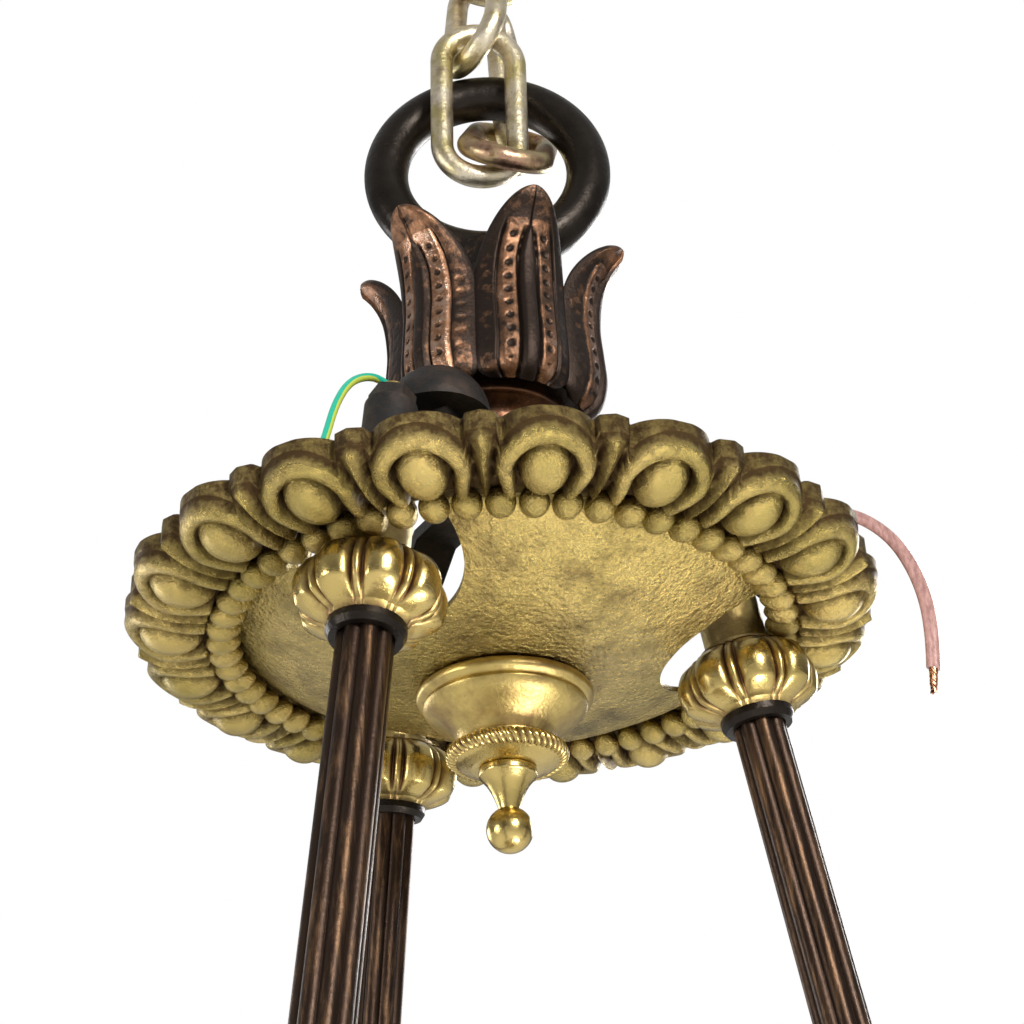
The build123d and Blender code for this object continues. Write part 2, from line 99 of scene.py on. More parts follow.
def grid_faces(nu, nv, wrap_v):
    """Quads of a grid whose u direction closes on itself; v closes too when wrap_v is true."""
    u = np.arange(nu)
    v = np.arange(nv if wrap_v else nv - 1)
    uu, vv = np.meshgrid(u, v, indexing="ij")
    a = uu * nv + vv
    b = ((uu + 1) % nu) * nv + vv
    c = ((uu + 1) % nu) * nv + (vv + 1) % nv
    d = uu * nv + (vv + 1) % nv
    return np.stack([a, b, c, d], -1).reshape(-1, 4)


def signed_volume(points, quads):
    """Six times the volume enclosed by the quads, positive when they face outwards."""
    p = points - points.mean(0)
    a, b, c, d = (p[quads[:, k]] for k in range(4))
    return (np.cross(a, b) * c).sum() + (np.cross(a, c) * d).sum()


def make_piece(name, shells, raised=None, sharp=40.0):
    """Mesh object from shells of (grid of points nu x nv x 3, wrap_v); open v ends are capped.

    raised has one array per shell, from 0 in the hollows to 1 on the crests, for the finishes, which paint
    shade into the hollows from it. Edges that turn by more than sharp degrees are shaded as sharp.
    """
    verts, quads, caps, first = [], [], [], 0
    for grid, wrap_v in shells:
        nu, nv = grid.shape[:2]
        points = place(grid.reshape(-1, 3))
        faces = grid_faces(nu, nv, wrap_v)
        flip = signed_volume(points, faces) < 0
        faces = faces[:, ::-1] if flip else faces
        if not wrap_v:
            low = (np.arange(nu) * nv + first).tolist()
            high = (np.arange(nu) * nv + nv - 1 + first).tolist()
            caps += [low, high[::-1]] if flip else [low[::-1], high]
        verts.append(points)
        quads.append(faces + first)
        first += nu * nv
    verts, quads = np.concatenate(verts), np.concatenate(quads)
    mesh = bpy.data.meshes.new(name)
    loops = np.concatenate([quads.ravel(), np.array(sum(caps, []), int)])
    sizes = np.array([4] * len(quads) + [len(c) for c in caps])
    mesh.vertices.add(len(verts))
    mesh.vertices.foreach_set("co", verts.astype(np.float32).ravel())
    mesh.loops.add(len(loops))
    mesh.loops.foreach_set("vertex_index", loops.astype(np.int32))
    mesh.polygons.add(len(sizes))
    mesh.polygons.foreach_set("loop_start", np.concatenate([[0], sizes.cumsum()[:-1]]).astype(np.int32))
    mesh.update(calc_edges=True)
    mesh.validate()
    mesh.shade_smooth()
    mesh.set_sharp_from_angle(angle=radians(sharp))
    if raised is not None:
        layer = mesh.attributes.new("raised", "FLOAT", "POINT")
        layer.data.foreach_set("value", np.concatenate([np.ravel(r) for r in raised]).astype(np.float32))
    piece = bpy.data.objects.new(name, mesh)
    bpy.context.scene.collection.objects.link(piece)
    return piece


def finish_piece(piece, slot, maker, *nodes, body="lamp"):
    """Gives a piece its finish and body, and hides the CAD nodes it stands in for. The slot is not used."""
    piece.data.materials.append(finish(maker))
    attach(piece, body)
    if nodes:
        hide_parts(*nodes)
    return piece


def paint_nodes(maker, *names):
    """Gives CAD nodes a finish in their own material slots."""
    material = finish(maker)
    for name in names:
        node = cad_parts[name]
        if not node.material_slots:
            node.data.materials.append(material)
        for slot in node.material_slots:
            slot.material = material


def rounded(points, per_span=8):
    """Smooth line through points (Catmull-Rom): each span is the cubic through its four neighbours."""
    p = np.asarray(points, float)
    if len(p) == 2:
        return p
    p = np.vstack([2 * p[0] - p[1], p, 2 * p[-1] - p[-2]])
    t = np.linspace(0, 1, per_span, endpoint=False)[:, None]
    spans = []
    for a, b, c, d in zip(p, p[1:], p[2:], p[3:]):
        square, cube = 2 * a - 5 * b + 4 * c - d, 3 * b - a - 3 * c + d
        spans.append(0.5 * (2 * b + (c - a) * t + square * t ** 2 + cube * t ** 3))
    return np.vstack(spans + [p[-2:-1]])


def outline(start, *segments):
    """One outline of (radius, height). A point is reached in a straight line, a list of points on a curve."""
    line = [np.array([start], float)]
    for segment in segments:
        points = np.vstack([line[-1][-1:], np.reshape(segment, (-1, 2))])
        line.append(rounded(points)[1:])
    return np.vstack(line)


def lathe(line, steps=96):
    """Surface of revolution: each (r, z) of the outline goes round as (r cos t, r sin t, z)."""
    t = full_turn(steps)[:, None]
    r, z = line[:, 0][None], line[:, 1][None]
    return np.stack([r * np.cos(t), r * np.sin(t), z + 0 * t], -1)


def round_top(x):
    """Half-round ridge: sqrt(1 - x^2) inside -1..1, else 0."""
    return np.sqrt(np.clip(1 - np.asarray(x) ** 2, 0, None))


def smooth_step(x):
    """Rises from 0 to 1 along 3x^2 - 2x^3."""
    x = np.clip(x, 0, 1)
    return x * x * (3 - 2 * x)


# ---- finishes ----
def add_node(tree, kind, inputs=(), **settings):
    """New shader node; each input takes a value or another node's output."""
    new = tree.nodes.new("ShaderNode" + kind)
    for key, value in settings.items():
        setattr(new, key, value)
    for key, value in dict(inputs).items():
        if isinstance(value, bpy.types.NodeSocket):
            tree.links.new(value, new.inputs[key])
        else:
            new.inputs[key].default_value = value
    return new


class Finish:
    """Small builder of a node material on Object coordinates, in metres."""

    def __init__(self, name, **sockets):
        self.material = bpy.data.materials.new(name)
        self.material.use_nodes = True
        self.tree = self.material.node_tree
        self.shader = self.tree.nodes["Principled BSDF"]
        self.coords = self.node("TexCoord").outputs["Object"]
        for key, value in sockets.items():
            self.shader.inputs[key.replace("_", " ")].default_value = value

    def node(self, kind, inputs=(), **settings):
        return add_node(self.tree, kind, inputs, **settings)

    def noise(self, scale, detail=4.0, rough=0.6, stretch=None):
        """Noise whose scale is in features per metre; stretch squeezes it along x, y, z."""
        source = self.coords
        if stretch:
            source = self.node("Mapping", {"Vector": source, "Scale": stretch}).outputs[0]
        inputs = {"Vector": source, "Scale": scale, "Detail": detail, "Roughness": rough}
        return self.node("TexNoise", inputs).outputs["Fac"]

    def cells(self, scale):
        """Distance to the nearest of scattered points, with soft creases between them."""
        inputs = {"Vector": self.coords, "Scale": scale}
        return self.node("TexVoronoi", inputs, feature="SMOOTH_F1").outputs["Distance"]

    def attribute(self, name="raised"):
        return self.node("Attribute", attribute_name=name).outputs["Fac"]

    def span(self, value, low, high, new_low=0.0, new_high=1.0):
        """Maps low..high to new_low..new_high and holds the ends."""
        return self.node("MapRange", {0: value, 1: low, 2: high, 3: new_low, 4: new_high}).outputs[0]

    def math(self, operation, a, b):
        return self.node("Math", {0: a, 1: b}, operation=operation).outputs[0]

    def mix(self, amount, a, b):
        """Blends two colours, each a node's output or three numbers."""
        a, b = (c if isinstance(c, bpy.types.NodeSocket) else (*c, 1.0) for c in (a, b))
        return self.node("Mix", {0: amount, 6: a, 7: b}, data_type="RGBA").outputs[2]

    def blend(self, noise, low, high, a, b, amount=1.0):
        """Colour a, turning to b where the noise passes low..high; amount weakens the change."""
        patches = self.span(self.noise(*noise), low, high)
        if amount < 1:
            patches = self.math("MULTIPLY", patches, amount)
        return self.mix(patches, a, b)

    def mottled(self, scale, detail, low, high):
        """Roughness that wanders between low and high."""
        return self.span(self.noise(scale, detail), 0.3, 0.7, low, high)

    def bump(self, height, distance, strength=1.0, under=None):
        inputs = {"Height": height, "Distance": distance, "Strength": strength}
        if under is not None:
            inputs["Normal"] = under
        return self.node("Bump", inputs).outputs[0]

    def done(self, colour=None, roughness=None, normal=None):
        for key, value in (("Base Color", colour), ("Roughness", roughness), ("Normal", normal)):
            if value is not None:
                self.tree.links.new(value, self.shader.inputs[key])
        return self.material


def cast_brass(look):
    """Antique cast brass: gold on the crests, brown patina and painted shade in the hollows, pebbled
    sand-cast grain.
    """
    f = Finish("cast_brass", Metallic=1.0)
    # painted shade: the relief attribute darkens the low relief, added to a random wear noise
    wear_and_shade = f.math("ADD", f.attribute(), f.span(f.noise(260, 5, 0.7), 0.35, 0.65, -0.22, 0.22))
    gold = f.blend((24, 3), 0.4, 0.62, look.brass_gold, look.brass_olive)
    # the dark end is patina in the hollows and painted shade at once
    colour = f.mix(f.span(wear_and_shade, 0.22, 1.05), look.brass_patina_and_shade, gold)
    colour = f.blend((900, 3, 0.8), 0.62, 0.70, colour, look.brass_patina_and_shade, 0.8)
    rough = f.span(wear_and_shade, 0.0, 0.9, 0.58, 0.20)
    grain = f.bump(f.noise(1500, 4, 0.7), 0.0008, 0.7)
    pits = f.bump(f.noise(420, 3, 0.6), 0.0010, 0.5, grain)
    return f.done(colour, rough, pits)


def hammered_brass(look):
    """Satin spun brass with a soft hammered surface and darker stains."""
    f = Finish("hammered_brass", Metallic=1.0)
    gold = f.blend((18, 4), 0.38, 0.66, look.brass_gold, look.brass_olive)
    colour = f.blend((46, 6, 0.7), 0.46, 0.70, gold, look.brass_patina_and_shade, 0.75)
    colour = f.blend((1000, 3, 0.8), 0.55, 0.68, colour, look.brass_patina_and_shade, 0.6)
    dents = f.bump(f.cells(560), 0.0010, 0.6)
    grain = f.bump(f.noise(1000, 4, 0.65), 0.0009, 0.7, dents)
    return f.done(colour, f.mottled(300, 4, 0.18, 0.30), grain)


def polished_brass(look):
    """Brighter turned brass with hollows browned partly as painted shade, small dark specks and a faint
    grain.
    """
    f = Finish("polished_brass", Metallic=1.0)
    wear_and_shade = f.math("ADD", f.attribute(), f.span(f.noise(150, 5, 0.7), 0.35, 0.65, -0.2, 0.2))
    gold = f.blend((30, 3), 0.4, 0.65, look.brass_bright, look.brass_gold)
    # painted shade: low relief turns to the browned colour, partly real browning
    colour = f.mix(f.span(wear_and_shade, 0.05, 0.66), look.brass_brown_and_shade, gold)
    colour = f.blend((700, 3, 0.8), 0.68, 0.74, colour, look.brass_patina_and_shade, 0.7)
    rough = f.span(wear_and_shade, 0.0, 0.9, 0.5, 0.24)
    return f.done(colour, rough, f.bump(f.noise(620, 4, 0.6), 0.0004, 0.35))


def plain_brass(look):
    """Turned brass without worked relief, for pieces with no crests."""
    f = Finish("plain_brass", Metallic=1.0)
    colour = f.blend((40, 6, 0.7), 0.44, 0.68, look.brass_gold, look.brass_brown_and_shade, 0.8)
    colour = f.blend((800, 3, 0.8), 0.66, 0.72, colour, look.brass_patina_and_shade, 0.7)
    return f.done(colour, f.mottled(200, 4, 0.28, 0.42), f.bump(f.noise(640, 4, 0.6), 0.0005, 0.4))


def dark_bronze(look):
    """Near-black brown forged bronze with small copper rubs."""
    f = Finish("dark_bronze", Metallic=0.85)
    rub = f.span(f.noise(34, 6, 0.75), 0.60, 0.76)
    rub = f.math("MULTIPLY", rub, f.span(f.noise(420, 4, 0.7), 0.46, 0.66))
    colour = f.mix(rub, look.bronze_dark, look.bronze_copper)
    dents = f.bump(f.noise(90, 3, 0.5), 0.0016, 0.4)
    return f.done(colour, f.mottled(120, 5, 0.26, 0.46), f.bump(f.noise(900, 4), 0.0003, 0.4, dents))


def leaf_bronze(look):
    """Dark brown cast bronze whose crests have worn to copper, with painted shade in the dimples and grooves.
    """
    f = Finish("leaf_bronze", Metallic=0.95)
    patchy = f.span(f.noise(26, 3), 0.42, 0.6, -0.35, 0.15)
    wear_and_shade = f.math("ADD", f.attribute(), f.span(f.noise(190, 6, 0.75), 0.3, 0.7, -0.4, 0.4))
    wear_and_shade = f.math("ADD", wear_and_shade, patchy)
    # dimples and grooves keep the dark bronze, partly as painted shade
    colour = f.mix(f.span(wear_and_shade, 0.35, 0.95), look.bronze_leaf, look.bronze_copper)
    colour = f.mix(f.span(wear_and_shade, 0.95, 1.35), colour, look.bronze_bright)
    grain = f.bump(f.noise(700, 5, 0.7), 0.0006, 0.5)
    return f.done(colour, f.span(wear_and_shade, 0.2, 1.1, 0.42, 0.27), f.bump(f.noise(150, 4), 0.0008, 0.4, grain))


def rod_bronze(look):
    """Brown reeded tube, rubbed to orange-brown streaks along the reeds; the grooves stay dark, partly as
    painted shade.
    """
    f = Finish("rod_bronze", Metallic=0.9)
    streak = f.noise(60, 5, 0.7, stretch=(6.0, 6.0, 0.35))
    # the relief attribute lets only the reeds' crests take the rubs, so the grooves stay dark: partly painted
    # shade
    wear_and_shade = f.math("ADD", f.math("MULTIPLY", f.attribute(), 0.7), f.span(streak, 0.3, 0.7, -0.75, 0.35))
    colour = f.mix(f.span(wear_and_shade, 0.35, 1.15), look.rod_brown, look.rod_wear)
    colour = f.blend((500, 4, 0.8), 0.6, 0.7, colour, look.bronze_dark, 0.6)
    return f.done(colour, f.span(streak, 0.3, 0.7, 0.30, 0.48), f.bump(f.noise(500, 4, 0.7), 0.0004, 0.4))


def copper_patina(look):
    """Smooth turned copper-brown."""
    f = Finish("copper_patina", Metallic=0.95)
    colour = f.blend((60, 6, 0.7), 0.38, 0.62, look.copper_brown, look.bronze_leaf)
    colour = f.blend((260, 5, 0.8), 0.58, 0.74, colour, look.bronze_copper)
    return f.done(colour, f.mottled(200, 5, 0.28, 0.46), f.bump(f.noise(600, 4), 0.0004, 0.4))


def worn_steel(look):
    """Welded chain: tan-silver with yellow-brass films and brown stains."""
    f = Finish("worn_steel", Metallic=1.0)
    colour = f.blend((55, 4, 0.6), 0.40, 0.60, look.chain_grey, look.chain_yellow)
    colour = f.blend((90, 6, 0.7), 0.52, 0.68, colour, look.chain_brown, 0.75)
    colour = f.blend((900, 3, 0.8), 0.62, 0.70, colour, look.brass_patina_and_shade, 0.7)
    dents = f.bump(f.noise(160, 4, 0.6), 0.0010, 0.5)
    return f.done(colour, f.mottled(240, 5, 0.30, 0.46), f.bump(f.noise(900, 4), 0.0004, 0.5, dents))


def link_copper(look):
    """The saddle link, browned to copper."""
    f = Finish("link_copper", Metallic=1.0)
    colour = f.blend((60, 5, 0.6), 0.38, 0.60, look.chain_copper, look.chain_yellow)
    colour = f.blend((110, 6, 0.7), 0.50, 0.66, colour, look.copper_brown)
    return f.done(colour, f.mottled(240, 5, 0.28, 0.44), f.bump(f.noise(300, 4), 0.0006, 0.5))


def black_iron(look):
    """Dull black-brown wrought iron with scale."""
    f = Finish("black_iron", Metallic=0.6)
    colour = f.blend((80, 6, 0.7), 0.45, 0.7, look.iron_black, look.iron_rust)
    scale = f.bump(f.noise(260, 6, 0.7), 0.0008, 0.5)
    return f.done(colour, f.mottled(150, 5, 0.42, 0.62), scale)


def opal_glass(look):
    """Milky bowl glass with faint cloudy variation."""
    f = Finish("opal_glass", Roughness=0.16, Transmission_Weight=0.35, IOR=1.48)
    colour = f.blend((16, 5, 0.6), 0.4, 0.65, look.opal_white, look.opal_cream)
    return f.done(colour, None, f.bump(f.noise(40, 3), 0.0006, 0.2))


def lamp_glass(look):
    """Frosted white bulb glass."""
    f = Finish("lamp_glass", Roughness=0.35, Transmission_Weight=0.25, IOR=1.48)
    return f.done(f.blend((30, 3), 0.4, 0.6, look.opal_white, look.opal_cream))


def striped_sheath(look):
    """Green sheath with a yellow stripe that runs along the wire; reads the round-the-wire attribute."""
    f = Finish("striped_sheath", Roughness=0.32)
    band = f.span(f.attribute("around"), 0.74, 0.78)
    colour = f.mix(band, look.sheath_green, look.sheath_yellow)
    return f.done(colour, None, f.bump(f.noise(500, 3), 0.0001, 0.3))


def clear_sheath(look):
    """Clear plastic over copper strands: pink, with darker streaks."""
    f = Finish("clear_sheath", Roughness=0.22, Coat_Weight=0.6, Coat_Roughness=0.12)
    strands = f.noise(240, 3, 0.6, stretch=(3.0, 3.0, 1.0))
    colour = f.mix(f.span(strands, 0.35, 0.65), look.flex_pink, look.flex_dark)
    return f.done(colour, None, f.bump(strands, 0.0003, 0.3))


def bare_copper(look):
    """Bright bare wire."""
    f = Finish("bare_copper", Metallic=1.0)
    colour = f.blend((500, 4), 0.4, 0.6, look.copper_bright, look.copper_brown)
    return f.done(colour, f.mottled(900, 3, 0.2, 0.4), f.bump(f.noise(1500, 2), 0.0002, 0.4))


def block_plastic(look):
    """Grey plastic of the connector block."""
    f = Finish("block_plastic", Roughness=0.45)
    colour = f.blend((300, 4), 0.4, 0.6, look.block_grey, look.block_pale)
    return f.done(colour, None, f.bump(f.noise(1200, 3), 0.0001, 0.4))


FINISHES = {}


def finish(maker):
    """The material that a finish's function makes, made once."""
    if maker not in FINISHES:
        FINISHES[maker] = maker(bpy.context.scene.lamp_look)
    return FINISHES[maker]


# ---- ornament ----
UNIT_ARC = 38.8  # pitch of one egg and dart along the middle of the band
FACE_IN, EGG_R = 106.0, 121.0
EGG_HALF, EGG_OUT, EGG_IN, EGG_HEIGHT = 8.3, 10.2, 13.0, 8.4
ARCH_R, ARCH_BAR, ARCH_HEIGHT = 12.9, 3.0, 5.6
DART_HEIGHT, FLUTE_HEIGHT = 5.4, 2.0
BAND_TOP = 12.4
BEADS_PER_UNIT = 3
BEAD_TURN = -6.6  # azimuth from an egg's middle to a bead's
STEPS_PER_UNIT = 44
RIM_BACK = [(104, 12.4), (98.9, 9), (98.7, 3.6), (100.5, 2.8), (104.5, 2.4)]
RING_BACK = [(134, 12.4), (134, 8.4), (128, 8.4), (128, 3.4), (139, 2.4)]
RING_SHIFT = 35.4  # how much wider the bowl's ring is than the rim


def egg_and_dart(p, r, half):
    """Relief height in mm of one unit, p mm sideways of the egg's middle at radius r (unshifted).

    The egg is half an ovoid. A horseshoe bar runs round it, open towards the beads. A ridged dart with
    two flutes stands midway to the next unit, half a pitch away.
    """
    reach = np.where(r > EGG_R, EGG_OUT, EGG_IN)
    egg = EGG_HEIGHT * round_top(np.hypot(p / EGG_HALF, (r - EGG_R) / reach)) ** 0.9
    above = np.clip(r - EGG_R, 0, None)
    below = np.clip(EGG_R - r, 0, None)
    arch = np.hypot(p / (ARCH_R - 0.16 * below), above / 12.2)
    bar = ARCH_HEIGHT * round_top((arch - 1) * ARCH_R / ARCH_BAR) ** 0.55
    q = half - np.abs(p)
    tall = np.clip((r - FACE_IN) / 30, 0, 1)
    width = 1.6 + 3.4 * tall ** 1.4
    dart = DART_HEIGHT * np.clip(1 - q / width, 0, 1) ** 0.8
    flute = FLUTE_HEIGHT * round_top((q - width - 1.3) / 1.1)
    dart = np.maximum(dart, flute * smooth_step(tall * 2))
    return np.maximum(np.maximum(egg, bar), dart)


def band_edge(p, half):
    """Outer edge of the band: round arches round the eggs, with the darts' tips between them."""
    arch = EGG_R + 15.3 * round_top(p / 15.9)
    q = half - np.abs(p)
    tip = 134.2 - 0.35 * q
    return np.maximum(np.maximum(arch, np.where(q < 4.6, tip, 0)), 129.5)


def ornament_band(name, units, phase, shift, level, back):
    """Cast band: the face runs out from the beads along a rising ovolo, with egg-and-dart relief.

    Going round, t is the azimuth, and phase is the azimuth of one egg. Going across, the face's radius runs
    from FACE_IN to the scalloped edge, the wall rises to the top, and the back outline closes the section.
    shift widens the face and level lifts the whole band.
    """
    steps, across = units * STEPS_PER_UNIT, 72
    t = full_turn(steps)
    pitch = 2 * pi / units
    local = (t - radians(phase) + pitch / 2) % pitch - pitch / 2
    arc = (local * UNIT_ARC / pitch)[:, None]
    edge = band_edge(arc, UNIT_ARC / 2)
    s = np.linspace(0, 1, across)[None]
    r = FACE_IN + s * (edge - FACE_IN)
    rise = (r - FACE_IN) / 30.5
    base = 1.5 - 3.5 * np.sin(pi * np.clip(rise, 0, 1) * 0.55) + 10.0 * rise ** 2.4
    slope = radians(30) * rise
    h = egg_and_dart(arc, r, UNIT_ARC / 2) * smooth_step(s * 14) * (1 - 0.75 * smooth_step((s - 0.965) * 28))
    out = r + h * np.sin(slope) * 0.5
    z = base - h * np.cos(slope)
    # relief height; the cast brass paints shade into the low relief from it
    raised = h / 6.0
    wall_r = np.repeat(np.minimum(edge + 0.4, 136.4), 5, 1)
    wall_rise = np.array([[0.06, 0.3, 0.6, 0.9, 1.0]])
    wall_z = z[:, -1:] + (BAND_TOP - 0.6 - z[:, -1:]) * wall_rise
    back = np.asarray(back, float)
    back_r = np.repeat(back[None, :, 0], steps, 0)
    back_z = np.repeat(back[None, :, 1], steps, 0)
    lip_r = edge - 1.0
    radius = np.concatenate([out + shift, wall_r + shift, lip_r + shift, back_r], 1)
    height = np.concatenate([z, wall_z, 0 * lip_r + BAND_TOP, back_z], 1) + level
    # the azimuth runs from -Y towards +X
    grid = np.stack([radius * np.sin(t)[:, None], -radius * np.cos(t)[:, None], height], -1)
    flat = np.full((steps, wall_rise.size + 1 + len(back)), 0.35)
    return make_piece(name, [(grid, True)], [np.concatenate([raised, flat], 1)], sharp=75)


def bead_row(name, count, phase, radius, level):
    """Row of drop-shaped beads: ovoids drawn out towards the axis, brighter below than on top as painted
    light and shade.
    """
    u = full_turn(18)[:, None]
    v = np.linspace(0.04, pi - 0.04, 12)[None]
    lean = 6.3 - 0.9 * np.cos(v)
    side = np.sin(v) ** (1.0 + 0.25 * (1 - np.cos(v)) / 2)
    bead = np.stack([lean * np.cos(v) + 0 * u, 5.1 * side * np.cos(u), -1.0 + 5.2 * side * np.sin(u)], -1)
    shells = []
    for k in range(count):
        azimuth = phase + 360 / count * k
        shells.append((turned(bead + [radius, 0, level], azimuth), False))
    # painted shade: the beads' upper halves get a lower raised value, so they come out darker
    up = np.clip(0.85 - 0.55 * np.sin(u) * side, 0, 1) + 0 * v
    return make_piece(name, shells, [up] * count)


# ---- turned and ribbed pieces ----
LOBES, LOBE_HEIGHT, RIB_HEIGHT = 8, 4.2, 2.5


def melon_boss(bore):
    """Ribbed boss about Z: eight wide lobes with a narrow rib between each pair.

    Radius = profile + relief: over each 45 degrees the lobe is a half-round 33 degrees wide and the rib
    one of 8 degrees, both fading towards the collars. bore is the outline of the hole, from the top down.
    """
    outer = outline((13.4, -14), (13.9, -12.6),
                    [(16.6, -11.2), (19.6, -8.4), (21.2, -3.2), (21.0, 1.2), (18.9, 5.8), (16.0, 9.4)],
                    (16.6, 9.4), (15.0, 10.4), (14.6, 12))
    t = full_turn(LOBES * 40)[:, None]
    local = (t + pi / LOBES) % (2 * pi / LOBES) - pi / LOBES
    lobe = LOBE_HEIGHT * round_top(local / radians(16.3)) ** 0.8
    rib = RIB_HEIGHT * round_top((pi / LOBES - np.abs(local)) / radians(4.0))
    z = outer[:, 1][None]
    fade = np.clip((z + 12.9) / 4.5, 0, 1) * np.clip((10.2 - z) / 4.5, 0, 1)
    relief = np.maximum(lobe, rib) * np.sqrt(fade)
    r = outer[:, 0][None] + relief
    bore = np.array(bore, float)
    body = np.concatenate([r, np.repeat(bore[None, :, 0], len(t), 0)], 1)
    high = np.concatenate([z + 0 * t, np.repeat(bore[None, :, 1], len(t), 0)], 1)
    # the finish paints shade into the creases between the lobes from this
    raised = np.concatenate([relief / LOBE_HEIGHT + 0.35 * (1 - fade), np.full((len(t), len(bore)), 0.2)], 1)
    return np.stack([body * np.cos(t), body * np.sin(t), high], -1), raised


def reeded_tube(length):
    """Reeded tube about Z: round core joined with half-round reeds; raised is 1 along the reeds' crests."""
    t = full_turn(REEDS * 18)
    centre, core, hole, tail = 6.35, 7.9, 5.2, 8
    small = ROD_R - centre
    d = (t + pi / REEDS) % (2 * pi / REEDS) - pi / REEDS
    inside = np.clip(small ** 2 - (centre * np.sin(d)) ** 2, 0, None)
    r = np.maximum(centre * np.cos(d) + np.sqrt(inside), core)
    z = np.linspace(-length - tail, tail, 60)
    radius = np.concatenate([np.repeat(r[:, None], len(z), 1), np.full((len(t), 2), hole)], 1)
    height = np.repeat(np.concatenate([z, [tail, -length - tail]])[None], len(t), 0)
    grid = np.stack([radius * np.cos(t)[:, None], radius * np.sin(t)[:, None], height], -1)
    # raised is low in the grooves, where the rod's finish keeps painted shade
    raised = np.clip((radius - core) / (ROD_R - core), 0, 1)
    return grid, raised


def rope_moulding(radius, level, thick, turns):
    """Rope twist: a torus whose tube swells by 0.9 |cos(turns t / 2 + 0.9 sin a + a / 2)|^0.7."""
    t = full_turn(turns * 14)[:, None]
    a = full_turn(22)[None]
    strand = np.abs(np.cos(turns / 2 * t + 0.9 * np.sin(a) + 0.5 * a))
    r = thick - 0.45 + 0.9 * strand ** 0.7
    out = radius + r * np.cos(a)
    grid = np.stack([out * np.cos(t), out * np.sin(t), level + r * np.sin(a)], -1)
    # strand is low in the twist's grooves, where the finish paints shade
    return grid, strand


# ---- leaves ----
LEAF_SPINE = [(34.5, 94.0), (39.5, 98), (41.6, 107), (41, 120), (40.4, 134), (42.4, 150), (47.3, 162),
              (55, 171.5)]
LEAF_COUNT, LEAF_PHASE = 6, 20.0
LEAF_HALF, LEAF_BOW = 19.3, 24.0
FRONT_LIFT, BACK_LIFT = 1.9, -2.4  # front and back of the plain leaf from its spine
BAR_HEIGHT, GAP_DEPTH, LINE_DEPTH = 1.5, 1.3, 1.3
DIMPLE_PITCH, DIMPLE_DEPTH, FAINT_DEPTH = 6.4, 0.9, 0.45
LINE_SIDE = 0.56  # the deep line's place between the middle, 0, and the edge, 1


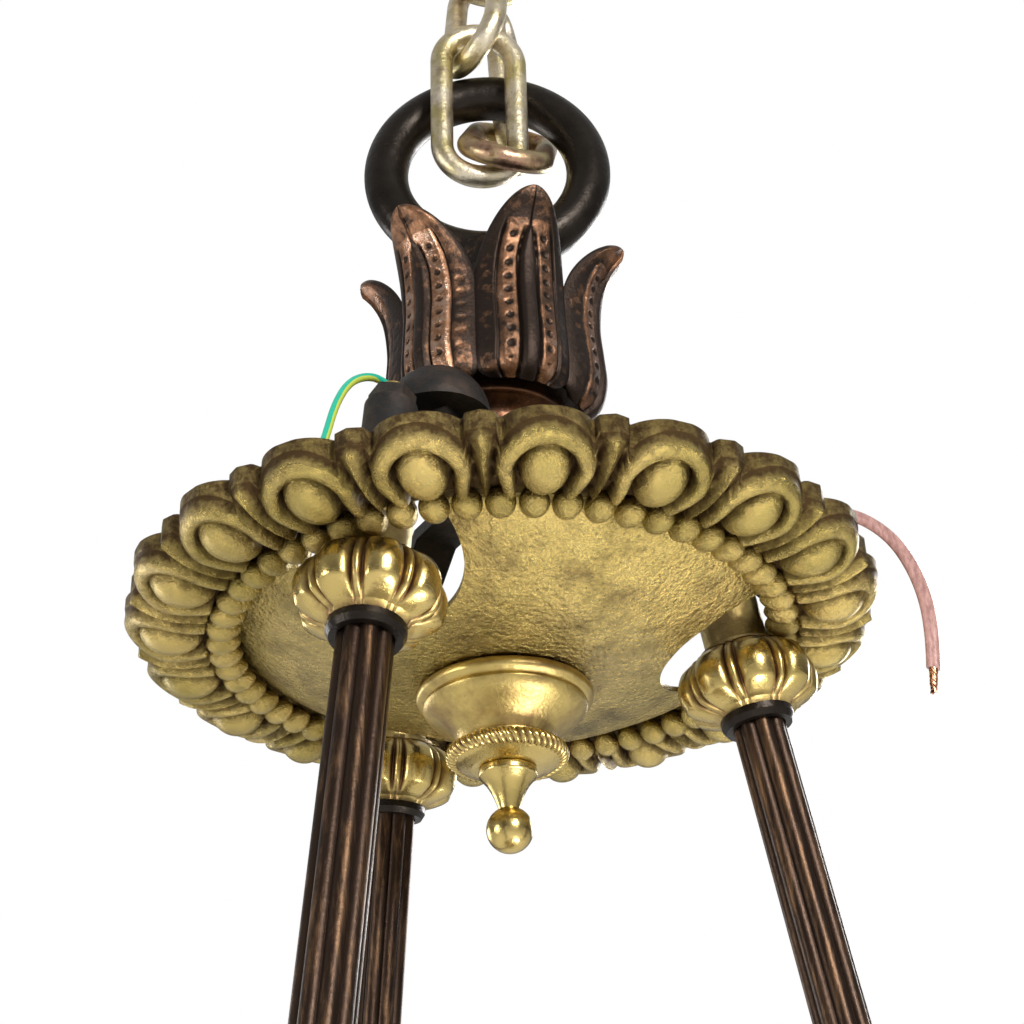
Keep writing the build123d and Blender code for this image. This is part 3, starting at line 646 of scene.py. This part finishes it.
def leaf_shell(azimuth):
    """One fat leaf: v runs up the spine, u across; front and back close in rounded edges.

    Half width: an ellipse at the foot, then 1 - ((v - 0.4) / 0.6)^2.4 to the power 0.55 up to the blunt tip.
    The section bows back along a circle of LEAF_BOW. Relief: a smooth bar with a pointed top, a groove and a
    dimpled panel on each side of it, a deep line, and an outer panel with fainter dimples.
    """
    spine = rounded(LEAF_SPINE, 20)
    length = np.concatenate([[0], np.cumsum(np.hypot(*np.diff(spine, axis=0).T))])
    v = np.linspace(0, 1, 130)
    r = np.interp(v * length[-1], length, spine[:, 0])
    z = np.interp(v * length[-1], length, spine[:, 1])
    dr, dz = np.gradient(r), np.gradient(z)
    size = np.hypot(dr, dz)
    normal = np.stack([dz / size, -dr / size], 1)
    foot = np.sqrt(np.clip(1 - 0.55 * np.clip(1 - v / 0.12, 0, 1) ** 2, 0, 1))
    taper = np.clip(1 - np.clip((v - 0.4) / 0.6, 0, 1) ** 2.4, 0.004, 1) ** 0.55
    half = (LEAF_HALF * foot * taper)[:, None]
    u = np.sin(np.linspace(-pi / 2, pi / 2, 97))[None]
    p = u * half
    side = np.abs(p) / (half + 2.0)
    along = (v * length[-1])[:, None]
    vv = v[:, None]
    bar_half = 2.9 * np.clip((0.80 - vv) / 0.16, 0, 1) ** 0.6
    bar = BAR_HEIGHT * round_top(np.clip(np.abs(p) / (bar_half + 0.05), 0, 1)) ** 0.5
    fade = smooth_step((0.88 - vv) / 0.10)
    groove = bar_half + 0.9
    gap = GAP_DEPTH * np.exp(-((np.abs(p) - groove) / 0.7) ** 2) * smooth_step((0.81 - vv) / 0.05)
    line = LINE_DEPTH * np.exp(-((side - LINE_SIDE) / 0.035) ** 2) * fade
    panel = fade * ((np.abs(p) > groove) & (side < LINE_SIDE))
    half_pitch = DIMPLE_PITCH / 2
    row_p = (groove + LINE_SIDE * (half + 2)) / 2
    row = np.hypot(np.abs(p) - row_p, (along + 3.4) % DIMPLE_PITCH - half_pitch)
    dimple = DIMPLE_DEPTH * np.clip(1 - (row / 1.7) ** 2, 0, 1) * ((vv > 0.08) & (vv < 0.80))
    outer_row = np.hypot(np.abs(p) - 0.72 * (half + 2), (along + 1) % DIMPLE_PITCH - half_pitch)
    faint = FAINT_DEPTH * np.clip(1 - (outer_row / 1.6) ** 2, 0, 1) * ((vv > 0.06) & (vv < 0.6))
    edge = np.clip(1 - np.abs(u) ** 7, 0, 1) ** 0.5
    bow = LEAF_BOW - np.sqrt(LEAF_BOW ** 2 - p ** 2)
    thick = np.clip(half / 8, 0.3, 1)
    front = (FRONT_LIFT + bar - gap - line - dimple - faint) * edge * thick
    plain = BACK_LIFT * edge * thick
    # the finish's raised value: bright worn panels, dark dimples and grooves that are partly painted shade, a
    # rubbed tip and dark edges
    raised = np.where(panel > 0.3, 0.95, 0.35) - 0.7 * (dimple > 0.3) - 0.3 * (bar > 0.3)
    raised = raised - 0.5 * (gap + line > 0.6) + 0.25 * (faint > 0.1)
    raised += 0.35 * np.clip((vv - 0.78) / 0.12, 0, 1) * (side < 0.8)
    raised = np.clip(raised - 0.45 * (side > 0.84), 0, 1)

    def sheet(lift):
        out = r[:, None] - bow + lift * normal[:, :1]
        return np.stack([out, p + 0 * out, z[:, None] + lift * normal[:, 1:]], -1)

    ring = np.concatenate([sheet(front), sheet(plain)[:, -2:0:-1]], 1)
    tint = np.concatenate([raised, np.full_like(raised, 0.1)[:, 1:-1]], 1)
    return turned(np.swapaxes(ring, 0, 1), azimuth), np.swapaxes(tint, 0, 1)


# ---- wires ----
EARTH_R, FLEX_R = 1.5, 2.5
STRANDS, STRAND_R, STRAND_REACH = 9, 0.42, 8.2


def route_points(route):
    """Part-frame points, in metres, of a route given as azimuth, radius and height."""
    return [tuple(place(turned([[radius, 0, height]], azimuth))[0]) for azimuth, radius, height in route]


def nurbs_route(name, route):
    """The wire's smooth centre line: a NURBS spline of order 3 with the route's points as controls."""
    curve = bpy.data.curves.new(name, "CURVE")
    curve.dimensions = "3D"
    curve.resolution_u = 12
    spline = curve.splines.new("NURBS")
    points = route_points(route)
    spline.points.add(len(points) - 1)
    for point, spot in zip(spline.points, points):
        point.co = (*spot, 1.0)
    spline.order_u = 3
    spline.use_endpoint_u = True
    helper = bpy.data.objects.new(name, curve)
    bpy.context.scene.collection.objects.link(helper)
    bpy.context.view_layer.update()
    mesh = bpy.data.meshes.new_from_object(helper.evaluated_get(bpy.context.evaluated_depsgraph_get()))
    line = np.array([v.co[:] for v in mesh.vertices])
    bpy.data.objects.remove(helper)
    bpy.data.curves.remove(curve)
    bpy.data.meshes.remove(mesh)
    return line


def carried(line, profile, tilt):
    """Carries a flat profile along a line, both in metres, with its first axis square to tilt.

    The result is in bead-plane millimetres, as make_piece takes it.
    """
    tangent = np.gradient(line, axis=0)
    tangent /= np.linalg.norm(tangent, axis=1)[:, None]
    side = np.cross(tangent, tilt)
    side /= np.linalg.norm(side, axis=1)[:, None]
    up = np.cross(side, tangent)
    ring = line[None] + profile[:, None, :1] * side[None] + profile[:, None, 1:] * up[None]
    return ring / MM - [0, 0, RIM_Z]


def add_around(piece, nu, nv):
    """Attribute that falls from 1 to 0 half way round the wire and rises to 1 again."""
    t = np.arange(nu) / nu
    layer = piece.data.attributes.new("around", "FLOAT", "POINT")
    layer.data.foreach_set("value", np.repeat(np.abs(2 * t - 1), nv).astype(np.float32))


# ---- settings ----
def colour(name, words, value):
    """A colour setting, as linear red, green and blue."""
    return bpy.props.FloatVectorProperty(name=name, description=words, default=value, subtype="COLOR", size=3,
                                         min=0, max=1)


class LampLook(bpy.types.PropertyGroup):
    brass_gold: colour("Brass gold", "Lit crests of the cast and spun brass", (0.50, 0.375, 0.130))
    brass_olive: colour("Brass olive", "Greener films on the brass", (0.35, 0.27, 0.080))
    # also painted shade in the hollows of the cast brass
    brass_patina_and_shade: colour("Brass patina", "Dark recesses of the brass", (0.070, 0.042, 0.018))
    brass_bright: colour("Bright brass", "Polished turned brass", (0.56, 0.42, 0.155))
    # also painted shade in the hollows of the polished brass
    brass_brown_and_shade: colour("Browned brass", "Purple-brown hollows of the polished brass", (0.16, 0.085, 0.045))
    bronze_dark: colour("Dark bronze", "Ring eye", (0.022, 0.017, 0.013))
    # also painted shade in the leaves' dimples and grooves
    bronze_leaf: colour("Leaf bronze", "Hollows of the leaves", (0.038, 0.026, 0.020))
    bronze_copper: colour("Worn copper", "Rubbed bronze", (0.30, 0.150, 0.080))
    bronze_bright: colour("Bright rub", "Brightest rubs on the leaves", (0.50, 0.34, 0.25))
    rod_brown: colour("Rod brown", "Body of the rods", (0.040, 0.024, 0.016))
    rod_wear: colour("Rod wear", "Rubbed reeds", (0.20, 0.11, 0.055))
    copper_brown: colour("Copper brown", "Turned seat under the crown", (0.17, 0.075, 0.038))
    copper_bright: colour("Bright copper", "Bare wire", (0.85, 0.42, 0.25))
    chain_grey: colour("Chain grey", "Links' plain metal", (0.76, 0.67, 0.52))
    chain_yellow: colour("Chain yellow", "Links' brassy film", (0.50, 0.42, 0.20))
    chain_brown: colour("Chain brown", "Links' stains", (0.20, 0.125, 0.085))
    chain_copper: colour("Chain copper", "Saddle link", (0.42, 0.25, 0.17))
    iron_black: colour("Iron", "Spider, dome and hook", (0.020, 0.018, 0.016))
    iron_rust: colour("Iron rust", "Brown scale on the iron", (0.055, 0.035, 0.025))
    opal_white: colour("Opal white", "Bowl glass", (0.78, 0.75, 0.67))
    opal_cream: colour("Opal cream", "Clouds in the bowl glass", (0.66, 0.58, 0.45))
    sheath_green: colour("Earth green", "Earth wire", (0.006, 0.33, 0.21))
    sheath_yellow: colour("Earth yellow", "Earth wire's stripe", (0.42, 0.48, 0.06))
    flex_pink: colour("Flex pink", "Supply flex", (0.40, 0.22, 0.19))
    flex_dark: colour("Flex shadow", "Strands under the sheath", (0.24, 0.12, 0.10))
    block_grey: colour("Block grey", "Connector block", (0.22, 0.27, 0.31))
    block_pale: colour("Block pale", "Rubbed edges of the block", (0.36, 0.41, 0.45))


class LampSizes(bpy.types.PropertyGroup):
    rim_units: bpy.props.IntProperty(name="Rim units", description="Eggs round the rim", default=20, min=8)
    rim_phase: bpy.props.FloatProperty(name="Rim phase", description="Azimuth of one egg, in degrees",
                                       default=7.0)
    ring_units: bpy.props.IntProperty(name="Bowl ring units", description="Eggs round the bowl ring",
                                      default=26, min=8)
    lens: bpy.props.FloatProperty(name="Lens", description="Camera's focal length in millimetres",
                                  default=63.2, min=10)


# ---- operators ----
class PieceOperator:
    """What all the operators share"""
    bl_options = {"REGISTER"}

    def execute(self, context):
        self.build(context.scene)
        return {"FINISHED"}


class LAMP_OT_rim(PieceOperator, bpy.types.Operator):
    """Cast egg-and-dart rim, and the same band round the bowl"""
    bl_idname = "lamp.rim"
    bl_label = "Rim and bowl ring"

    def build(self, scene):
        sizes = scene.lamp_sizes
        rim = ornament_band("rim_casting", sizes.rim_units, sizes.rim_phase, 0, 0, RIM_BACK)
        finish_piece(rim, "brass_cast", cast_brass, "rim_band")
        ring = ornament_band("bowl_ring_casting", sizes.ring_units, 0.0, RING_SHIFT, DECK - BAND_TOP,
                             RING_BACK)
        finish_piece(ring, "brass_cast", cast_brass, "lower_ring")


class LAMP_OT_beads(PieceOperator, bpy.types.Operator):
    """Rows of drop beads inside both bands"""
    bl_idname = "lamp.beads"
    bl_label = "Bead rows"

    def build(self, scene):
        sizes = scene.lamp_sizes
        count = BEADS_PER_UNIT * sizes.rim_units
        beads = bead_row("rim_beads", count, sizes.rim_phase + BEAD_TURN, 102.0, -0.8)
        finish_piece(beads, "brass_cast", cast_brass, "bead_ring")
        low = bead_row("bowl_ring_beads", BEADS_PER_UNIT * sizes.ring_units, 0, 134.8, DECK - 13.0)
        finish_piece(low, "brass_cast", cast_brass, "lower_beads")


class LAMP_OT_turnings(PieceOperator, bpy.types.Operator):
    """Turned cup, rope ring and finial under the dish"""
    bl_idname = "lamp.turnings"
    bl_label = "Cup, rope ring and finial"

    def build(self, scene):
        cup = outline((BORE_R, -20.1), (27.0, -20.1),
                      [(30.2, -20.6), (31.7, -22.2), (31.7, -24.2), (30.2, -25.8)], (29.2, -26.2),
                      [(29.5, -27.6), (27.4, -30.4), (22.6, -34.0), (18.6, -37.4), (16.6, -40.4)],
                      (17.6, -41.2), (17.6, -42.4), (BORE_R, -42.4))
        cup_piece = make_piece("turned_cup", [(lathe(cup, 128), True)])
        finish_piece(cup_piece, "brass_spun", plain_brass, "collar_cup")
        disc = outline((BORE_R, -42.5), (18.6, -42.5), (18.6, -48.0), [(16.6, -49.0), (12.6, -50.4)],
                       (BORE_R, -50.4))
        rope, strand = rope_moulding(18.9, -45.4, 2.55, 48)
        body = lathe(disc, 96)
        rope_ring = make_piece("rope_twist_ring", [(body, True), (rope, True)],
                               [np.full(body.shape[:2], 0.8), strand])
        finish_piece(rope_ring, "brass_bright", polished_brass, "rope_ring")
        turn = np.linspace(radians(26), pi - 0.02, 20)
        ball_r, ball_z = 8.2, -72.8
        ball = [(ball_r * sin(a), ball_z + ball_r * cos(a)) for a in turn]
        finial = outline((POLE_R, -50.5), (9.8, -50.5), [(10.3, -51.0), (10.3, -53.0), (9.7, -53.8)],
                         [(7.6, -56.4), (5.6, -60.0), (4.2, -63.6), (3.6, -65.5)], *ball)
        piece = make_piece("turned_finial", [(lathe(finial, 72), False)], [np.full((72, len(finial)), 0.95)])
        finish_piece(piece, "brass_bright", polished_brass, "finial")


class LAMP_OT_sockets(PieceOperator, bpy.types.Operator):
    """Ribbed bosses at the rods' ends"""
    bl_idname = "lamp.sockets"
    bl_label = "Ribbed bosses"

    def build(self, scene):
        upper = [(11.65, 12), (11.65, 8), (9.6, 8), (9.6, -14)]
        lower = [(9.6, 12), (9.6, -8), (BORE_R, -8), (BORE_R, -14)]
        for letter, azimuth in ARMS.items():
            for name, bore, along, node in (("rod_boss", upper, 0, "socket"),
                                            ("lower_boss", lower, -ROD_LENGTH, "lower_socket")):
                grid, raised = melon_boss(bore)
                piece = make_piece(f"{name}_{letter}", [(on_rod(grid, azimuth, along), True)], [raised], 55)
                finish_piece(piece, "brass_bright", polished_brass, f"{node}_{letter}")


class LAMP_OT_rods(PieceOperator, bpy.types.Operator):
    """Reeded rods"""
    bl_idname = "lamp.rods"
    bl_label = "Rods"

    def build(self, scene):
        for letter, azimuth in ARMS.items():
            grid, raised = reeded_tube(ROD_LENGTH)
            piece = make_piece(f"reeded_rod_{letter}", [(on_rod(grid, azimuth), True)], [raised], 60)
            finish_piece(piece, "bronze_rod", rod_bronze, f"rod_{letter}")


class LAMP_OT_crown(PieceOperator, bpy.types.Operator):
    """Leaf crown and its turned seat"""
    bl_idname = "lamp.crown"
    bl_label = "Leaf crown"

    def build(self, scene):
        for k in range(LEAF_COUNT):
            grid, raised = leaf_shell(LEAF_PHASE + 360 / LEAF_COUNT * k)
            piece = make_piece(f"crown_leaf_{k + 1}", [(grid, False)], [raised], 60)
            finish_piece(piece, "bronze_leaf", leaf_bronze, f"leaf_{k + 1}")
        seat = outline((BORE_R, 71.1), (20.5, 71.1), [(20.8, 78), (20.4, 84), (21.4, 88), (26, 91.5)],
                       [(28, 93), (28, 97)], (BORE_R, 97))
        seat_piece = make_piece("crown_seat", [(lathe(seat, 96), True)])
        finish_piece(seat_piece, "copper_brown", copper_patina, "crown_foot")
        cup = outline((12.1, 97.1), (33, 97.1),
                      [(35.4, 104), (35.8, 116), (35, 130), (30, 142), (20, 150), (16, 151.8)], (12.1, 151.8))
        grid = lathe(cup, 96)
        piece = make_piece("crown_core", [(grid, True)], [np.full(grid.shape[:2], 0.1)])
        finish_piece(piece, "bronze_leaf", leaf_bronze, "crown_cup")


class LAMP_OT_metalwork(PieceOperator, bpy.types.Operator):
    """Finishes of the pieces whose shape comes from the frame"""
    bl_idname = "lamp.metalwork"
    bl_label = "Chain, eye and ironwork"

    def build(self, scene):
        paint_nodes(worn_steel, "link_front_upper", "link_front_lower", "link_rear",
                    "suspension_ring")
        paint_nodes(link_copper, "link_saddle")
        paint_nodes(dark_bronze, "eye_ring", "ferrules", "lower_seats")
        paint_nodes(black_iron, "ceiling_hook", "hook_locknut", "crown_nut", "tie_rod", "spider",
                    "junction_dome", "dome_plate", "stem_sleeve", "rim_screws", "arm_nuts")
        paint_nodes(hammered_brass, "dish")
        paint_nodes(plain_brass, "ceiling_plate", "arm_tube_a", "arm_tube_b", "arm_tube_c",
                    "lower_studs", "lamp_bridge", "bridge_screws")
        paint_nodes(block_plastic, "terminal_block")
        paint_nodes(bare_copper, "earth_lug")


class LAMP_OT_wires(PieceOperator, bpy.types.Operator):
    """Earth wire, twin supply flex and its bare strands"""
    bl_idname = "lamp.wires"
    bl_label = "Wires"

    def build(self, scene):
        around = full_turn(16)
        line = nurbs_route("earth_line", EARTH_ROUTE)
        disc = EARTH_R * MM * np.stack([np.cos(around), np.sin(around)], 1)
        piece = make_piece("earth_lead", [(carried(line, disc, (0.3, 0.9, 0.1)), False)])
        add_around(piece, len(around), len(line))
        finish_piece(piece, "pvc_green", striped_sheath, "earth_wire")
        line = nurbs_route("flex_line", FLEX_ROUTE)
        a = full_turn(28)
        # two cores side by side: an oval with a waist at its middle
        waist = 1.32 - 0.34 * np.exp(-(np.cos(a) / 0.32) ** 2)
        twin = MM * np.stack([waist * np.sin(a), FLEX_R * np.cos(a)], 1)
        piece = make_piece("twin_flex", [(carried(line, twin, (0.35, 0.1, 0.9)), False)])
        finish_piece(piece, "pvc_clear", clear_sheath, "supply_flex")
        tail = self.strands(line)

    def strands(self, line):
        """Nine copper strands that twist together past the flex's end, with slightly uneven lengths."""
        end, ahead = line[-1], line[-1] - line[-2]
        ahead /= np.linalg.norm(ahead)
        side = np.cross(ahead, (0, 0.3, 1.0))
        side /= np.linalg.norm(side)
        up = np.cross(side, ahead)
        s = np.linspace(0, 1, 24)
        around = full_turn(8)
        disc = STRAND_R * MM * np.stack([np.cos(around), np.sin(around)], 1)
        shells = []
        for k in range(STRANDS):
            turn = 2 * pi * k / STRANDS + 5.0 * s
            spread = MM * (1.05 - 0.35 * s + 0.12 * sin(3.0 * k))
            reach = MM * (STRAND_REACH + 0.9 * sin(5.0 * k + 1.0))
            path = end + np.outer(s * reach, ahead) + (spread * np.cos(turn))[:, None] * side
            path += (spread * np.sin(turn))[:, None] * up
            shells.append((carried(path, disc, (0.3, 0.9, 0.1)), False))
        piece = make_piece("copper_strands", shells)
        return finish_piece(piece, "copper_bare", bare_copper, "flex_strands")


class LAMP_OT_bowl(PieceOperator, bpy.types.Operator):
    """Glass bowl, bulbs and lampholders"""
    bl_idname = "lamp.bowl"
    bl_label = "Bowl and bulbs"

    def build(self, scene):
        top, wall, rim, flange_r, depth = DECK - 3.9, 4.0, 125.0, 133.0, 112.0
        a = np.linspace(0.0005, pi / 2, 48)
        outer = np.stack([rim * np.sin(a), top - depth * np.cos(a)], 1)
        flange = [(rim, top), (flange_r, top), (flange_r, top + wall), (rim - wall, top + wall)]
        inner = np.stack([(rim - wall) * np.sin(a[::-1]), top - (depth - wall) * np.cos(a[::-1])], 1)
        line = np.vstack([outer[:-1], flange, inner])
        bowl = make_piece("opal_bowl", [(lathe(line, 128), False)])
        finish_piece(bowl, "glass_opal", opal_glass, "glass_bowl", body="bowl")
        hang = DECK + 38 - 0.1
        holder = outline((POLE_R, hang), (8.5, hang), [(12.4, hang - 3), (14.2, hang - 8)],
                         [(15.0, hang - 10), (14.4, hang - 12)], (14.4, hang - 36),
                         [(15.2, hang - 38), (14.6, hang - 40)], (13.3, hang - 40), (13.3, hang - 14),
                         (POLE_R, hang - 14))
        nipple = outline((POLE_R, hang - 0.2), (4.9, hang - 0.2), (4.9, hang + 9), (POLE_R, hang + 9))
        shells = []
        for azimuth in BULBS.values():
            for line in (holder, nipple):
                shells.append((turned(lathe(line, 48) + [BULB_CIRCLE_R, 0, 0], azimuth), False))
        holders = make_piece("brass_holders", shells)
        finish_piece(holders, "brass_bright", plain_brass, "lampholders")
        cap = hang - 15
        pear = outline((POLE_R, cap), (12.6, cap), (12.6, cap - 26),
                       [(14.6, cap - 32), (19.2, cap - 42), (22.3, cap - 53), (20.6, cap - 65),
                        (13, cap - 73.6), (0.05, cap - 76)])
        for letter, azimuth in BULBS.items():
            grid = turned(lathe(pear, 48) + [BULB_CIRCLE_R, 0, 0], azimuth)
            piece = make_piece(f"frosted_bulb_{letter}", [(grid, False)])
            finish_piece(piece, "glass_clear", lamp_glass, f"bulb_{letter}", body=f"bulb_{letter}")


CAMERA_PLACE = (0.0, -589.2, -294.0)
CAMERA_AHEAD = (0.00726, 0.8607, 0.50907)
CAMERA_UP = (0.03442, -0.509, 0.86008)
# the stage is in metres in the part's frame
FLOOR_LEVEL, FLOOR_HALF = -1.35, 30.0
LIGHT_TARGET = (0, 0, -0.4)
# each light is a disc: place, size, watts
LIGHTS = {
    "key": ((0.75, -1.55, 0.0), 0.45, 30),
    "left": ((-1.5, -0.7, -0.5), 0.45, 9),
    "low": ((0.30, -0.12, -1.25), 0.4, 7),
    "back": ((0.9, 1.5, 0.3), 0.9, 18),
    "back_left": ((-1.4, 1.1, -0.3), 0.7, 8),
}


class LAMP_OT_stage(PieceOperator, bpy.types.Operator):
    """Pale floor, soft light and camera"""
    bl_idname = "lamp.stage"
    bl_label = "Stage"

    def build(self, scene):
        scene.view_settings.view_transform = "Standard"
        floor_mesh = bpy.data.meshes.new("floor")
        square = FLOOR_HALF * np.array([(-1, -1), (1, -1), (1, 1), (-1, 1)])
        corners = [(x, y, FLOOR_LEVEL) for x, y in square]
        floor_mesh.from_pydata(corners, [], [(0, 1, 2, 3)])
        floor = bpy.data.objects.new("floor", floor_mesh)
        scene.collection.objects.link(floor)
        pale = Finish("pale_floor", Roughness=0.9)
        clouds = pale.span(pale.noise(1.5), 0.3, 0.7)
        floor_mesh.materials.append(pale.done(pale.mix(clouds, (0.63, 0.63, 0.62), (0.65, 0.65, 0.64))))
        self.sky(scene)
        for name, (spot, size, watts) in LIGHTS.items():
            self.light(scene, name, spot, size, watts)
        camera = bpy.data.cameras.new("camera")
        camera.lens = scene.lamp_sizes.lens
        camera.sensor_width = 36.0
        camera.clip_start = 0.05
        view = bpy.data.objects.new("camera", camera)
        ahead, up = Vector(CAMERA_AHEAD).normalized(), Vector(CAMERA_UP).normalized()
        right = ahead.cross(up).normalized()
        turn = Matrix((right, right.cross(ahead), -ahead)).transposed().to_4x4()
        view.matrix_world = Matrix.Translation(Vector(place(CAMERA_PLACE))) @ turn
        scene.collection.objects.link(view)
        scene.camera = view

    def sky(self, scene):
        """White to the eye and to matt surfaces; in the metal's gloss a dim room, brighter overhead."""
        world = bpy.data.worlds.new("studio")
        world.use_nodes = True
        tree = world.node_tree
        direction = add_node(tree, "TexCoord").outputs["Generated"]
        height = add_node(tree, "SeparateXYZ", {0: direction}).outputs["Z"]
        ramp = add_node(tree, "ValToRGB", {0: height})
        stops = ramp.color_ramp.elements
        stops[0].position = 0.05
        stops[0].color = (0.085, 0.085, 0.09, 1)
        stops[1].position = 0.75
        stops[1].color = (0.50, 0.50, 0.50, 1)
        gloss = add_node(tree, "LightPath").outputs["Is Glossy Ray"]
        choice = add_node(tree, "Mix", {0: gloss, 6: (1, 1, 1, 1), 7: ramp.outputs[0]}, data_type="RGBA")
        tree.links.new(choice.outputs[2], tree.nodes["Background"].inputs["Color"])
        scene.world = world

    def light(self, scene, name, spot, size, watts):
        """Soft disc light that faces the lamp's axis near the rim and stays out of the picture."""
        lamp = bpy.data.lights.new(name, "AREA")
        lamp.shape = "DISK"
        lamp.size = size
        lamp.energy = watts
        item = bpy.data.objects.new(name, lamp)
        item.location = spot
        item.visible_camera = False
        item.rotation_euler = (Vector(spot) - Vector(LIGHT_TARGET)).to_track_quat("Z", "Y").to_euler()
        scene.collection.objects.link(item)


OPERATORS = (LAMP_OT_stage, LAMP_OT_wires, LAMP_OT_rim, LAMP_OT_beads, LAMP_OT_turnings, LAMP_OT_sockets,
             LAMP_OT_rods, LAMP_OT_crown, LAMP_OT_metalwork, LAMP_OT_bowl)


class LAMP_PT_panel(bpy.types.Panel):
    """Lists the lamp's pieces and sizes"""
    bl_idname = "LAMP_PT_panel"
    bl_label = "Lamp"
    bl_space_type = "VIEW_3D"
    bl_region_type = "UI"
    bl_category = "Lamp"

    def draw(self, context):
        for operator in OPERATORS:
            self.layout.operator(operator.bl_idname)
        for key in LampSizes.__annotations__:
            self.layout.prop(context.scene.lamp_sizes, key)
        for key in LampLook.__annotations__:
            self.layout.prop(context.scene.lamp_look, key)


CLASSES = (LampLook, LampSizes) + OPERATORS + (LAMP_PT_panel,)


def register():
    for item in CLASSES:
        bpy.utils.register_class(item)
    bpy.types.Scene.lamp_look = bpy.props.PointerProperty(type=LampLook)
    bpy.types.Scene.lamp_sizes = bpy.props.PointerProperty(type=LampSizes)


def unregister():
    del bpy.types.Scene.lamp_sizes
    del bpy.types.Scene.lamp_look
    for item in reversed(CLASSES):
        bpy.utils.unregister_class(item)


def main():
    """Builds everything."""
    register()
    for operator in OPERATORS:
        getattr(bpy.ops.lamp, operator.bl_idname.removeprefix("lamp."))()


if __name__ == "__main__":
    main()
